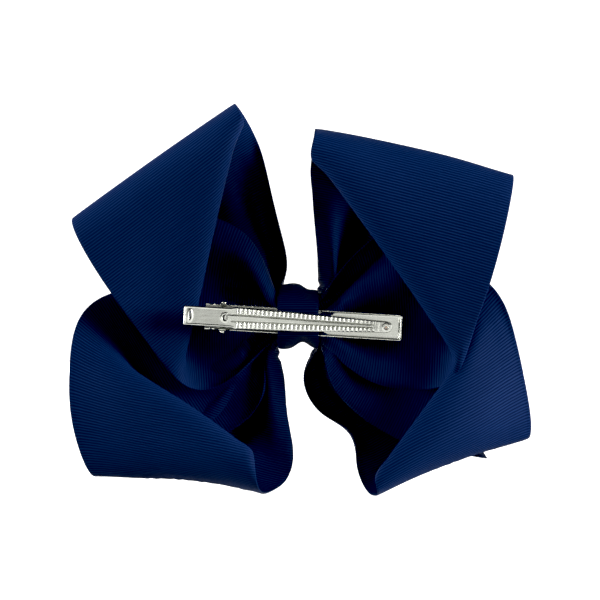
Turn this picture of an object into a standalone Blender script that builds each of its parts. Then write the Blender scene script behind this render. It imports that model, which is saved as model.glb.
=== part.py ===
# Cheer hair bow: four big ribbon loops and two tails of 75 mm grosgrain, tied and wrapped
# at the middle onto a sprung, toothed alligator clip.
# Frame: +Z up as worn, +X to the right seen from the clip side, the clip side faces -Y.
# The origin is the grip point between the two clip jaws, over the middle of the bow.
import bpy
import bmesh
import math
import numpy as np

MM = 0.001

# ---- driving dimensions, millimetres ----
RIBBON_W = 75.0            # 3 inch grosgrain
RIBBON_T = 0.6             # ribbon with its raised ribs
BOW_DEPTH_0 = 8.7          # from the grip point back to the middle plane of the bow
WRAP_W = 15.2              # width of the strip round the knot
WRAP_T = 0.8
THREAD_R = 0.3
THREAD_TURNS = 3
CLIP_TILT = 3.5            # the clip sits a little off level, degrees
HINGE = (-27.75, -9.0, 1.78)   # hinge axis in the bow's own frame (x, depth, z)
SHEET = 0.5                # clip sheet metal
BASE_W = 9.6
BASE_LEFT, BASE_RIGHT = -6.7, 66.4
BASE_FLOOR = 5.0           # hinge axis to the outer face of the base floor
WALL_H = 3.2               # side walls of the base arm
NOTCH_PITCH = 3.1          # serrations on the walls
NOTCH_DEPTH = 0.45
EAR_TOP = 1.7              # ears rise this far past the hinge axis
PIN_R = 0.70
PIN_HOLE_R = 0.80
PIN_HALF = 5.9
RIDGE_PITCH = 1.6          # cross ridges of the lever arm
RIDGE_H = 0.35
RIDGE_X0, RIDGE_X1 = 4.6, 55.8
SPRING_R, SPRING_WIRE, SPRING_TURNS = 1.75, 0.28, 4

for old in list(bpy.data.objects):
    bpy.data.objects.remove(old, do_unlink=True)


# ---- helpers ----
def material(name, colour, metallic, roughness):
    mat = bpy.data.materials.new(name)
    mat.use_nodes = True
    shader = mat.node_tree.nodes["Principled BSDF"]
    shader.inputs["Base Color"].default_value = (*colour, 1.0)
    shader.inputs["Metallic"].default_value = metallic
    shader.inputs["Roughness"].default_value = roughness
    return mat


def add_object(name, verts, faces, mat, location=(0, 0, 0), rotation=(0, 0, 0), smooth=False):
    mesh = bpy.data.meshes.new(name)
    mesh.from_pydata([tuple(v) for v in (np.asarray(verts, float) * MM)], [], faces)
    mesh.validate()
    mesh.update()
    obj = bpy.data.objects.new(name, mesh)
    bpy.context.scene.collection.objects.link(obj)
    obj.location = [c * MM for c in location]
    obj.rotation_euler = rotation
    mesh.materials.append(mat)
    for poly in mesh.polygons:
        poly.use_smooth = smooth
    return obj


def spline(points, per_span):
    """Catmull-Rom curve through the points; works on any array whose first axis is the station."""
    p = np.asarray(points, float)
    pad = np.concatenate([[2 * p[0] - p[1]], p, [2 * p[-1] - p[-2]]])
    out = []
    for i in range(len(p) - 1):
        a, b, c, d = pad[i:i + 4]
        for k in range(per_span):
            t = k / per_span
            out.append(0.5 * (2 * b + (c - a) * t + (2 * a - 5 * b + 4 * c - d) * t ** 2
                              + (3 * b - a - 3 * c + d) * t ** 3))
    out.append(p[-1])
    return np.array(out)


def ribbon_solid(name, stations, mat, location, across=4, per_span=2, thick=RIBBON_T):
    """A closed thin band. Each station is (inner edge, outer edge, crown toward the clip side)."""
    ends = np.array([[s[0], s[1], (s[2] if len(s) > 2 else 0.0,) * 3] for s in stations], float)
    ends = spline(ends, per_span)
    n = len(ends)
    grid = np.zeros((n, across + 1, 3))
    for j in range(across + 1):
        t = j / across
        grid[:, j] = ends[:, 0] * (1 - t) + ends[:, 1] * t
        grid[:, j, 1] -= ends[:, 2, 0] * 4 * t * (1 - t)
    du = np.gradient(grid, axis=0)
    dv = np.gradient(grid, axis=1)
    nrm = np.cross(du, dv)
    nrm /= np.linalg.norm(nrm, axis=2, keepdims=True) + 1e-12
    top = grid + nrm * thick / 2
    bot = grid - nrm * thick / 2
    verts = np.concatenate([top.reshape(-1, 3), bot.reshape(-1, 3)])
    w = across + 1
    off = n * w
    faces = []
    for i in range(n - 1):
        for j in range(across):
            a, b, c, d = i * w + j, (i + 1) * w + j, (i + 1) * w + j + 1, i * w + j + 1
            faces.append((a, b, c, d))
            faces.append((off + d, off + c, off + b, off + a))
        a, b = i * w, (i + 1) * w
        faces.append((a, off + a, off + b, b))
        a, b = i * w + across, (i + 1) * w + across
        faces.append((b, off + b, off + a, a))
    for j in range(across):
        a, b = j, j + 1
        faces.append((a, b, off + b, off + a))
        a, b = (n - 1) * w + j, (n - 1) * w + j + 1
        faces.append((off + a, off + b, b, a))
    return add_object(name, verts, faces, mat, location, smooth=True)


def loft(name, rings, mat, location=(0, 0, 0), rotation=(0, 0, 0), closed=False, smooth=False):
    """Closed solid through a row of rings that have the same number of points."""
    rings = np.asarray(rings, float)
    n, m = rings.shape[:2]
    faces = []
    for i in range(n if closed else n - 1):
        k = (i + 1) % n
        for j in range(m):
            l = (j + 1) % m
            faces.append((i * m + j, i * m + l, k * m + l, k * m + j))
    if not closed:
        faces.append(tuple(range(m - 1, -1, -1)))
        faces.append(tuple((n - 1) * m + j for j in range(m)))
    obj = add_object(name, rings.reshape(-1, 3), faces, mat, location, rotation, smooth)
    make_outward(obj)
    return obj


def make_outward(obj):
    """Turn every face of a closed solid outward."""
    bm = bmesh.new()
    bm.from_mesh(obj.data)
    bmesh.ops.recalc_face_normals(bm, faces=bm.faces)
    bm.to_mesh(obj.data)
    bm.free()


def tube(name, path, radius, sides, mat, location=(0, 0, 0), rotation=(0, 0, 0)):
    """Round wire or thread along a path, with capped ends."""
    path = np.asarray(path, float)
    tan = np.gradient(path, axis=0)
    tan /= np.linalg.norm(tan, axis=1, keepdims=True)
    ref = np.array([0.13, 0.97, 0.21])
    rings = []
    normal = np.cross(tan[0], ref)
    for p, t in zip(path, tan):
        normal = normal - t * np.dot(normal, t)
        normal /= np.linalg.norm(normal)
        binormal = np.cross(t, normal)
        rings.append([p + radius * (math.cos(a) * normal + math.sin(a) * binormal)
                      for a in np.linspace(0, 2 * math.pi, sides, endpoint=False)])
    return loft(name, rings, mat, location, rotation, smooth=True)


navy = material("navy_grosgrain", (0.004, 0.018, 0.085), 0.0, 0.75)
navy_wrap = material("navy_wrap_grosgrain", (0.004, 0.018, 0.085), 0.0, 0.75)
thread_mat = material("navy_thread", (0.004, 0.012, 0.05), 0.0, 0.7)
nickel = material("nickel_plate", (0.74, 0.74, 0.72), 1.0, 0.28)
spring_steel = material("spring_steel", (0.55, 0.55, 0.54), 1.0, 0.35)

BOW_AT = (0.0, BOW_DEPTH_0, 0.0)

# ---- ribbon loops: (inner edge, outer edge, crown), each point x, depth, z ----
# Each loop leaves the knot sideways on the clip side, turns back over itself, rolls over a
# diagonal into the broad back face, turns over its outer fold and comes back to the knot in front.
upper_right = [
    ((0.4, 2.8, 4.8), (0.4, 2.8, -3.8)),
    ((8.0, 2.5, 7.0), (8.0, 2.5, -6.0)),
    ((15.0, 2.0, 17.0), (15.5, 2.8, -12.0)),
    ((28.0, 1.0, 30.0), (29.0, 2.5, -22.0)),
    ((46.0, -1.0, 42.0), (44.0, 0.5, -24.2)),
    ((58.0, -4.0, 48.0), (52.0, -2.5, -24.0)),
    ((62.5, -8.5, 51.5), (56.0, -6.0, -21.5)),
    ((57.0, -13.0, 54.0), (58.0, -8.0, -18.0)),
    ((35.0, -15.0, 57.0), (59.0, -9.5, -16.0)),
    ((7.5, -16.0, 58.0), (59.8, -11.0, -14.5)),
    ((4.8, -18.5, 59.0), (61.0, -12.5, -12.0)),
    ((5.0, -21.0, 62.0), (65.0, -16.0, -2.0)),
    ((5.4, -22.0, 65.0), (70.0, -19.0, 12.0)),
    ((5.9, -20.0, 68.5), (76.3, -19.5, 38.0)),
    ((6.3, -12.0, 71.0), (79.6, -11.0, 54.3)),
    ((6.0, -3.0, 69.5), (78.8, -2.0, 53.0)),
    ((5.2, 9.0, 58.5), (70.0, 10.0, 42.0)),
    ((6.3, 15.5, 43.0), (54.0, 17.0, 29.0)),
    ((7.4, 16.5, 28.0), (36.0, 18.0, 17.0)),
    ((8.6, 14.0, 17.0), (18.0, 14.0, 8.0)),
    ((8.2, 9.6, 9.0), (8.2, 9.6, 3.0)),
    ((0.4, 9.4, 6.4), (0.4, 9.4, 2.0)),
]
lower_right = [
    ((0.4, 5.6, -5.6), (0.4, 5.6, 4.8)),
    ((8.0, 5.6, -7.0), (8.0, 5.6, 5.0)),
    ((12.5, 6.2, -20.0), (22.0, 7.6, 14.0)),
    ((18.5, 7.0, -29.5), (38.0, 8.6, 22.0)),
    ((32.0, 6.0, -40.0), (52.0, 8.0, 24.0)),
    ((45.0, 2.0, -47.0), (62.0, 5.5, 21.0)),
    ((51.0, -3.0, -51.0), (68.0, 3.0, 17.0)),
    ((47.0, -7.5, -53.5), (72.0, 1.0, 13.0)),
    ((38.0, -9.5, -54.0), (75.0, 0.0, 8.5)),
    ((30.9, -10.5, -53.8), (77.0, -1.0, 3.0)),
    ((30.2, -13.0, -55.0), (79.0, -1.0, -3.5), 2.0),
    ((30.6, -14.5, -57.5), (82.0, -1.0, -13.0), 4.0),
    ((31.2, -13.5, -60.5), (84.3, 0.0, -23.0), 5.0),
    ((31.0, -10.0, -63.0), (85.6, 2.0, -34.0), 5.0),
    ((30.0, -3.0, -64.0), (85.0, 7.0, -42.5), 3.0),
    ((28.0, 5.0, -63.5), (82.0, 14.0, -41.0)),
    ((22.6, 11.0, -54.0), (72.0, 18.0, -34.0)),
    ((20.3, 13.0, -42.0), (56.0, 20.0, -24.0)),
    ((9.0, 14.5, -33.0), (38.0, 19.0, -14.0)),
    ((4.0, 14.0, -22.0), (20.0, 15.0, -6.0)),
    ((8.2, 9.6, -7.8), (8.2, 9.6, -1.0)),
    ((0.4, 9.4, -5.2), (0.4, 9.4, -1.0)),
]
upper_left = [
    ((-0.4, 2.8, 4.8), (-0.4, 2.8, -3.8)),
    ((-8.4, 2.5, 8.0), (-8.4, 2.5, -5.6)),
    ((-12.5, 1.5, 20.5), (-17.5, 2.5, -13.0)),
    ((-20.0, 0.0, 33.0), (-26.0, 1.0, -21.0)),
    ((-33.0, -2.0, 38.5), (-33.0, -0.5, -24.6)),
    ((-48.0, -4.0, 43.0), (-37.0, -1.5, -24.8)),
    ((-57.0, -8.0, 49.0), (-39.5, -3.0, -24.0)),
    ((-55.0, -13.0, 55.0), (-40.8, -3.6, -23.2)),
    ((-38.0, -15.0, 63.0), (-41.6, -4.2, -22.6)),
    ((-21.5, -15.5, 70.0), (-42.4, -4.2, -22.0)),
    ((-19.4, -18.0, 71.5), (-45.5, -3.8, -19.6)),
    ((-20.5, -20.5, 74.5), (-54.0, -8.6, -10.7)),
    ((-21.5, -21.5, 76.5), (-69.6, -18.0, 11.1)),
    ((-22.6, -19.0, 79.0), (-81.0, -19.0, 30.5)),
    ((-23.6, -11.0, 80.8), (-83.4, -11.0, 37.5)),
    ((-22.5, -2.0, 78.5), (-82.0, -1.0, 36.5)),
    ((-17.0, 9.0, 71.0), (-72.0, 9.0, 31.0)),
    ((-10.5, 15.0, 55.0), (-55.0, 17.0, 23.0)),
    ((-7.2, 16.5, 37.0), (-36.0, 18.0, 15.0)),
    ((-6.5, 15.0, 20.0), (-18.0, 14.0, 9.0)),
    ((-8.6, 9.6, 9.0), (-8.6, 9.6, 3.0)),
    ((-0.4, 9.4, 6.4), (-0.4, 9.4, 2.0)),
]
lower_left = [
    ((-0.4, 5.6, -5.6), (-0.4, 5.6, 4.8)),
    ((-8.4, 5.6, -7.4), (-8.4, 5.6, 5.0)),
    ((-12.7, 5.4, -15.0), (-20.0, 6.6, 12.5)),
    ((-15.0, 4.4, -28.0), (-35.0, 7.0, 19.0)),
    ((-20.0, 2.0, -36.0), (-51.0, 5.5, 21.0)),
    ((-32.0, -1.0, -43.5), (-62.0, 2.5, 18.0)),
    ((-39.0, -5.0, -47.0), (-69.0, -1.0, 12.5)),
    ((-37.0, -9.0, -48.8), (-74.5, -3.5, 8.5)),
    ((-27.0, -11.0, -48.0), (-79.0, -5.5, 4.5)),
    ((-19.3, -12.0, -46.0), (-81.5, -7.0, 0.5)),
    ((-18.6, -14.5, -47.5), (-82.8, -8.0, -6.0)),
    ((-18.0, -15.5, -51.5), (-84.0, -10.0, -20.0)),
    ((-17.0, -14.5, -57.0), (-84.0, -10.0, -32.0)),
    ((-15.8, -11.0, -61.5), (-81.8, -8.0, -43.0)),
    ((-14.0, -4.0, -64.0), (-76.0, -2.0, -55.0)),
    ((-12.0, 5.0, -63.5), (-74.0, 7.0, -53.0)),
    ((-6.0, 12.0, -59.0), (-66.0, 14.0, -44.0)),
    ((-2.2, 15.0, -48.0), (-50.0, 18.0, -30.0)),
    ((-3.8, 15.0, -35.0), (-33.0, 18.0, -18.0)),
    ((-5.5, 13.0, -21.0), (-18.0, 14.0, -8.0)),
    ((-8.6, 9.6, -7.8), (-8.6, 9.6, -1.0)),
    ((-0.4, 9.4, -5.2), (-0.4, 9.4, -1.0)),
]
for name, stations in (("upper_right_loop", upper_right), ("lower_right_loop", lower_right),
                       ("upper_left_loop", upper_left), ("lower_left_loop", lower_left)):
    make_outward(ribbon_solid(name, stations, navy, BOW_AT))

# ---- tails: short, in front of the lower loops, slant cut ends ----
right_tail = [
    ((0.4, 11.4, -2.6), (0.4, 11.4, 2.2)),
    ((8.4, 12.6, -4.6), (8.4, 12.6, 2.6)),
    ((11.0, 20.0, -14.0), (22.0, 20.0, -4.0)),
    ((13.0, 24.0, -23.0), (40.0, 24.5, -14.0)),
    ((17.0, 25.0, -33.0), (57.0, 24.5, -29.0)),
    ((24.5, 24.5, -44.5), (69.7, 22.0, -50.1)),
]
left_tail = [tuple((-x, y, z) for x, y, z in s) for s in right_tail]
make_outward(ribbon_solid("right_tail", right_tail, navy, BOW_AT))
make_outward(ribbon_solid("left_tail", left_tail, navy, BOW_AT))

# ---- knot wrap: a strip round the gathers and the clip's base arm, through the jaws ----
wrap_outline = [(-8.4, 4.6), (-8.2, 5.6), (-5.5, 9.0), (0.0, 12.6), (5.0, 13.9), (10.0, 12.4),
                (14.0, 8.0), (15.2, 1.5), (14.2, -4.5), (10.0, -8.8), (4.0, -10.2), (-2.0, -9.2),
                (-6.0, -7.2), (-8.2, -5.4), (-8.4, -4.4), (-8.4, 0.0)]
outer = np.array(wrap_outline)
outer = np.vstack([outer, outer[:1]])
ring = spline(np.hstack([outer, np.zeros((len(outer), 1))]), 2)[:-1, :2]
step = np.roll(ring, -1, axis=0) - np.roll(ring, 1, axis=0)
inward = np.stack([step[:, 1], -step[:, 0]], axis=1)
inward /= np.linalg.norm(inward, axis=1, keepdims=True)
if np.sum((ring.mean(axis=0) - ring) * inward) < 0:
    inward = -inward
inner_ring = ring + inward * WRAP_T
rings = []
for (y0, z0), (y1, z1) in zip(ring, inner_ring):
    h = WRAP_W / 2
    rings.append([(-h, y0, z0), (h, y0, z0), (h, y1, z1), (-h, y1, z1)])
loft("centre_wrap", rings, navy_wrap, BOW_AT, closed=True, smooth=True)

# ---- thread that ties the gathers, inside the wrap ----
path = []
for a in np.linspace(0, 2 * math.pi * THREAD_TURNS, 20 * THREAD_TURNS + 1):
    c, s = math.cos(a), math.sin(a)
    path.append((-1.2 + 2.4 * a / (2 * math.pi * THREAD_TURNS),
                 7.1 + 5.6 * math.copysign(abs(c) ** 0.8, c),
                 0.7 + 8.3 * math.copysign(abs(s) ** 0.8, s)))
tube("gather_thread", path, THREAD_R, 5, thread_mat, BOW_AT)

# ---- clip: local frame at the hinge, x along the clip, y away from the wearer's side ----
CLIP_AT = (HINGE[0], HINGE[1] + BOW_DEPTH_0, HINGE[2])
CLIP_ROT = (0.0, math.radians(CLIP_TILT), 0.0)

# base arm: a channel with serrated side walls, hinge ears and a closed far end
half = BASE_W / 2
floor_y = BASE_FLOOR


def base_ring(x, wall_top, floor_in):
    return [(x, wall_top, -half), (x, floor_y, -half), (x, floor_y, half), (x, wall_top, half),
            (x, wall_top, half - SHEET), (x, floor_in, half - SHEET),
            (x, floor_in, -half + SHEET), (x, wall_top, -half + SHEET)]


low = floor_y - WALL_H
inner_floor = floor_y - SHEET
rings = [base_ring(BASE_LEFT, floor_y - 1.4, inner_floor), base_ring(-3.0, low, inner_floor),
         base_ring(-2.0, -0.6, inner_floor), base_ring(-1.0, -EAR_TOP, inner_floor),
         base_ring(1.0, -EAR_TOP, inner_floor), base_ring(2.0, -0.6, inner_floor),
         base_ring(3.0, low, inner_floor)]
x = 4.4
while x + NOTCH_PITCH < BASE_RIGHT - 1.5:
    rings.append(base_ring(x, low, inner_floor))
    rings.append(base_ring(x + 0.25, low + NOTCH_DEPTH, inner_floor))
    rings.append(base_ring(x + 0.65, low + NOTCH_DEPTH, inner_floor))
    rings.append(base_ring(x + 0.9, low, inner_floor))
    x += NOTCH_PITCH
rings += [base_ring(BASE_RIGHT - 0.62, low, inner_floor), base_ring(BASE_RIGHT - 0.60, low, low + 0.02),
          base_ring(BASE_RIGHT, low, low + 0.02)]
base = loft("clip_base_arm", rings, nickel, CLIP_AT, CLIP_ROT)

# lever arm: thumb plate, hinge cheeks, ridged jaw with a raised middle bar
lever_line = [(-14.1, -8.0), (-8.0, -6.3), (-1.0, -4.6), (4.0, -4.0), (15.0, -3.7), (30.0, -2.6),
              (45.0, -0.3), (56.0, 2.2), (60.0, 3.0), (62.9, 3.2)]
lever_half = [(-14.1, 3.55), (-13.6, 3.6), (3.0, 3.6), (4.6, 4.05), (27.0, 3.45), (56.0, 2.2), (60.0, 2.15)]
cheek_drop = [(-14.1, 0.9), (-5.0, 1.2), (-2.2, 2.2), (-1.4, 5.9), (1.4, 5.6), (2.2, 2.2), (6.0, 1.4),
              (30.0, 1.2), (56.0, 1.1), (62.9, 0.9)]


def lookup(table, x):
    xs, ys = zip(*table)
    return float(np.interp(x, xs, ys))


def lever_y(x):
    pts = spline(np.array(lever_line), 6)
    return float(np.interp(x, pts[:, 0], pts[:, 1]))


def lever_ring(x, lift, hw=None):
    y = lever_y(x)
    hw = lookup(lever_half, x) if hw is None else hw
    drop = max(lookup(cheek_drop, x), SHEET + 0.05)
    bar = 0.32 * hw if x > 0.5 else 0.0
    rise = 0.35 if 1.0 < x < 55.0 else 0.0
    top = [(-hw, 0.0), (-0.9 * hw, lift), (-max(bar, 0.2) - 0.25, lift), (-max(bar, 0.2), rise),
           (max(bar, 0.2), rise), (max(bar, 0.2) + 0.25, lift), (0.9 * hw, lift), (hw, 0.0)]
    ring = [(x, y + drop, -hw)] + [(x, y - h, z) for z, h in top] + [(x, y + drop, hw)]
    inner = hw - SHEET
    ring += [(x, y + drop, inner), (x, y + SHEET, inner), (x, y + SHEET, -inner), (x, y + drop, -inner)]
    return ring


stations = [(-14.1, 0.0), (-12.0, 0.0), (-8.0, 0.0), (-5.0, 0.0), (-2.2, 0.0), (-1.4, 0.0), (0.0, 0.0),
            (1.4, 0.0), (2.2, 0.0), (3.4, 0.0)]
count = int(round((RIDGE_X1 - RIDGE_X0) / RIDGE_PITCH))
for k in range(count):
    stations.append((RIDGE_X0 + k * RIDGE_PITCH, 0.0))
    stations.append((RIDGE_X0 + (k + 0.5) * RIDGE_PITCH, RIDGE_H))
stations += [(RIDGE_X1, 0.0), (58.0, 0.0), (60.0, 0.0)]
rings = [lever_ring(x, h) for x, h in stations]
rings += [lever_ring(61.4, 0.0, 1.95), lever_ring(62.4, 0.0, 1.4), lever_ring(62.9, 0.0, 0.8)]
lever = loft("clip_lever_arm", rings, nickel, CLIP_AT, CLIP_ROT)


def pin_hole(obj):
    """Drill the hinge hole through both cheeks or both ears."""
    a = np.linspace(0, 2 * math.pi, 20, endpoint=False)
    rings = [[(PIN_HOLE_R * math.cos(t), PIN_HOLE_R * math.sin(t), z) for t in a] for z in (-8.0, 8.0)]
    cutter = loft(obj.name + "_hole_cutter", rings, nickel, CLIP_AT, CLIP_ROT)
    cutter.hide_render = True
    cutter.display_type = "WIRE"
    mod = obj.modifiers.new("pin_hole", "BOOLEAN")
    mod.operation = "DIFFERENCE"
    mod.solver = "EXACT"
    mod.object = cutter


pin_hole(base)
pin_hole(lever)

# hinge pin with a small head each end
profile = [(0.0, -PIN_HALF), (0.75, -PIN_HALF), (1.0, -PIN_HALF + 0.2), (1.0, -half - 0.12), (PIN_R, -half - 0.12),
           (PIN_R, half + 0.12), (1.0, half + 0.12), (1.0, PIN_HALF - 0.2), (0.75, PIN_HALF), (0.0, PIN_HALF)]
a = np.linspace(0, 2 * math.pi, 16, endpoint=False)
rings = [[(r * math.cos(t), r * math.sin(t), z) for t in a] for r, z in profile[1:-1]]
loft("hinge_pin", rings, nickel, CLIP_AT, CLIP_ROT, smooth=False)

# torsion spring on the pin: one leg on the base floor, one under the thumb plate
path = [(-6.2, 3.95, -1.7), (-4.0, 3.2, -1.7)]
for t in np.linspace(0, 1, 12 * SPRING_TURNS + 7):
    ang = math.pi / 2 + 0.12 - 2 * math.pi * (SPRING_TURNS + 0.5) * t
    path.append((SPRING_R * math.cos(ang), SPRING_R * math.sin(ang), -1.6 + 3.2 * t))
path += [(-3.4, -1.6, 1.7), (-6.0, -1.6, 1.7)]
tube("jaw_spring", path, SPRING_WIRE, 6, spring_steel, CLIP_AT, CLIP_ROT)
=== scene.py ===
import bpy
import bmesh
import math
import numpy as np
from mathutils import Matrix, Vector


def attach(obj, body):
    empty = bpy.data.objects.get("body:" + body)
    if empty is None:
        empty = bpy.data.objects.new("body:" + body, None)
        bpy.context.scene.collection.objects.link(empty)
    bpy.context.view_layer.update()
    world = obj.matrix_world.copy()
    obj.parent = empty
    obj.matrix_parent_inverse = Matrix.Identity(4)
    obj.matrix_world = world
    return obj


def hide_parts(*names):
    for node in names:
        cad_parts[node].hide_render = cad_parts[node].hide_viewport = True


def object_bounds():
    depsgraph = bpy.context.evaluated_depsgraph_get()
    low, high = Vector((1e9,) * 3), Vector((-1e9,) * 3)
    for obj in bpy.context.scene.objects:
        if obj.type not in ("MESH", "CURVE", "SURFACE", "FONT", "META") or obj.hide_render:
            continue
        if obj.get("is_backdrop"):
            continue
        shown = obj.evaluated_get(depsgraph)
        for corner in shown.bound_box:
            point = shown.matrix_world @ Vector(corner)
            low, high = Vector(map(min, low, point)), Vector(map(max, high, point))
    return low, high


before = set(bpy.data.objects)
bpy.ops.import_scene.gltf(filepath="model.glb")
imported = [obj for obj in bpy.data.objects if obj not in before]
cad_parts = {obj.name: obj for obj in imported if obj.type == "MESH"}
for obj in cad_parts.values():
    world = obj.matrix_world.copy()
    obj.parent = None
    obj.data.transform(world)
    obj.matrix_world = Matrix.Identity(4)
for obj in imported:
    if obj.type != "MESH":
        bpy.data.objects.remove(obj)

MM = 0.001
cad_lo, cad_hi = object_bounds()

RIBBON_W = 75.0            # ribbon width, mm
RIB_PITCH = 1.03           # one woven rib, mm
RIB_H = 0.14               # relief of a rib on each face
RIBBON_HALF = 0.16         # half thickness in the grooves
SELVAGE = 1.5              # flat woven edge
BOW_DEPTH_0 = 8.7          # the bow's own middle plane lies this far behind the origin
STEP = 2.5                 # cloth grid while it relaxes
CUT_SHARE = 0.4            # cut length: 0 is the shortest run along the ribbon, 1 the longest
SPAN_ROWS = 6              # rows of the spline between two rulings
RIB_PHASE = np.array([0.0, 0.18, 0.39, 0.61, 0.82])    # places across one rib, in pitches
RIB_RELIEF = np.array([0.0, 0.74, 1.0, 1.0, 0.74])     # height there, 0 in the groove
EDGE_LINES = [0.0, 0.4, 1.0, SELVAGE, 2.3]             # mesh lines near a selvage, mm from it

GATHER_START, GATHER_RANGE = 0.95, 0.20    # share of the width below which folds set in, and how fast
FLAT_ENOUGH = 0.985                        # share of the width above which a row stays flat
BENDING = ((1, 0.25), (2, 0.25))           # (stride in rows, strength)
BEND_STEP = 0.33
SHEAR = 0.15                               # strength of the diagonals
GIVE = 0.5                                 # strength in compression against that in stretch
ANCHOR_FADE = 0.6                          # share of the hold to the start shape lost by the end
FOLD_STATION = 14                          # ruling on the loop's outer fold
LOOP_WAVES, TAIL_WAVES = 2, 2              # gather folds across the ribbon
GATHER_REACH = (42.0, 72.0)                # mm from each end: full gathers, no gathers
HOLD_MIDDLE, HOLD_EDGE, HOLD_FOLD = 0.010, 0.10, 0.15    # pull back to the start shape, each step
FOLD_HALF = 4                              # mm each side of the fold that is held
WRAP_W = 15.2              # width of the knot wrap, mm
WRAP_RIB_PITCH = 1.0


# ------------------------------------------------------------------ mesh helpers
def new_object(name, verts, faces, mat, smooth=True, uv=None):
    """Mesh object from millimetre points, turned outward if it is a closed shell."""
    v = np.asarray(verts, float)
    f = [tuple(int(i) for i in q) for q in faces]
    tri = np.array([(q[0], q[k], q[k + 1]) for q in f for k in range(1, len(q) - 1)])
    a, b, c = v[tri[:, 0]], v[tri[:, 1]], v[tri[:, 2]]
    if np.einsum("ij,ij->i", a, np.cross(b, c)).sum() < 0:
        f = [q[::-1] for q in f]
    mesh = bpy.data.meshes.new(name)
    mesh.from_pydata([tuple(p) for p in v * MM], [], f)
    mesh.update()
    obj = bpy.data.objects.new(name, mesh)
    bpy.context.scene.collection.objects.link(obj)
    mesh.materials.append(mat)
    mesh.polygons.foreach_set("use_smooth", [smooth] * len(mesh.polygons))
    if uv is not None:
        layer = mesh.uv_layers.new(name="weave")
        loops = np.zeros(len(mesh.loops), int)
        mesh.loops.foreach_get("vertex_index", loops)
        layer.data.foreach_set("uv", (np.asarray(uv, float)[loops] * MM).ravel())
    return obj


def apply_modifiers(obj):
    bpy.context.view_layer.update()
    dg = bpy.context.evaluated_depsgraph_get()
    mesh = bpy.data.meshes.new_from_object(obj.evaluated_get(dg))
    obj.modifiers.clear()
    old = obj.data
    obj.data = mesh
    bpy.data.meshes.remove(old)


def face_outward(mesh, weld=0.0):
    """Merge points closer than weld, then turn the faces of a closed mesh outward."""
    bm = bmesh.new()
    bm.from_mesh(mesh)
    if weld:
        bmesh.ops.remove_doubles(bm, verts=bm.verts, dist=weld)
    bmesh.ops.recalc_face_normals(bm, faces=bm.faces)
    bm.to_mesh(mesh)
    bm.free()


def tube_faces(rings, sides):
    """Faces joining each ring of points to the next."""
    return [(i * sides + j, i * sides + (j + 1) % sides, (i + 1) * sides + (j + 1) % sides, (i + 1) * sides + j)
            for i in range(rings - 1) for j in range(sides)]


def spline(points, per_span):
    p = np.asarray(points, float)
    pad = np.concatenate([[2 * p[0] - p[1]], p, [2 * p[-1] - p[-2]]])
    out = []
    for i in range(len(p) - 1):
        a, b, c, d = pad[i:i + 4]
        for k in range(per_span):
            t = k / per_span
            out.append(0.5 * (2 * b + (c - a) * t + (2 * a - 5 * b + 4 * c - d) * t ** 2
                              + (3 * b - a - 3 * c + d) * t ** 3))
    out.append(p[-1])
    return np.array(out)


def cubic(grid, u):
    """Smooth samples of a grid along its first axis, at fractional rows u."""
    n = len(grid)
    i = np.clip(np.floor(u).astype(int), 0, n - 2)
    f = (u - i).reshape((-1,) + (1,) * (grid.ndim - 1))
    p = np.concatenate([2 * grid[:1] - grid[1:2], grid, 2 * grid[-1:] - grid[-2:-1]])
    a, b, c, d = p[i], p[i + 1], p[i + 2], p[i + 3]
    return 0.5 * (2 * b + (c - a) * f + (2 * a - 5 * b + 4 * c - d) * f ** 2
                  + (3 * b - a - 3 * c + d) * f ** 3)


def smooth_step(x, a, b):
    t = np.clip((x - a) / (b - a), 0, 1)
    return t * t * (3 - 2 * t)


def normals(grid):
    n = np.cross(np.gradient(grid, axis=0), np.gradient(grid, axis=1))
    return n / (np.linalg.norm(n, axis=2, keepdims=True) + 1e-12)


def shell(top, bottom):
    """Points and faces of the closed thin solid between two equal grids."""
    n, w = top.shape[:2]
    off = n * w
    i, j = np.meshgrid(np.arange(n - 1), np.arange(w - 1), indexing="ij")
    a = (i * w + j).ravel()
    quads = np.stack([a, a + w, a + w + 1, a + 1], 1)
    back = quads[:, ::-1] + off
    rim = []
    r = np.arange(n - 1) * w
    rim.append(np.stack([r, r + off, r + w + off, r + w], 1))
    r = r + w - 1
    rim.append(np.stack([r + w, r + w + off, r + off, r], 1))
    c = np.arange(w - 1)
    rim.append(np.stack([c, c + 1, c + 1 + off, c + off], 1))
    c = c + (n - 1) * w
    rim.append(np.stack([c + off, c + 1 + off, c + 1, c], 1))
    faces = np.concatenate([quads, back] + rim)
    return np.concatenate([top.reshape(-1, 3), bottom.reshape(-1, 3)]), faces


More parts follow.
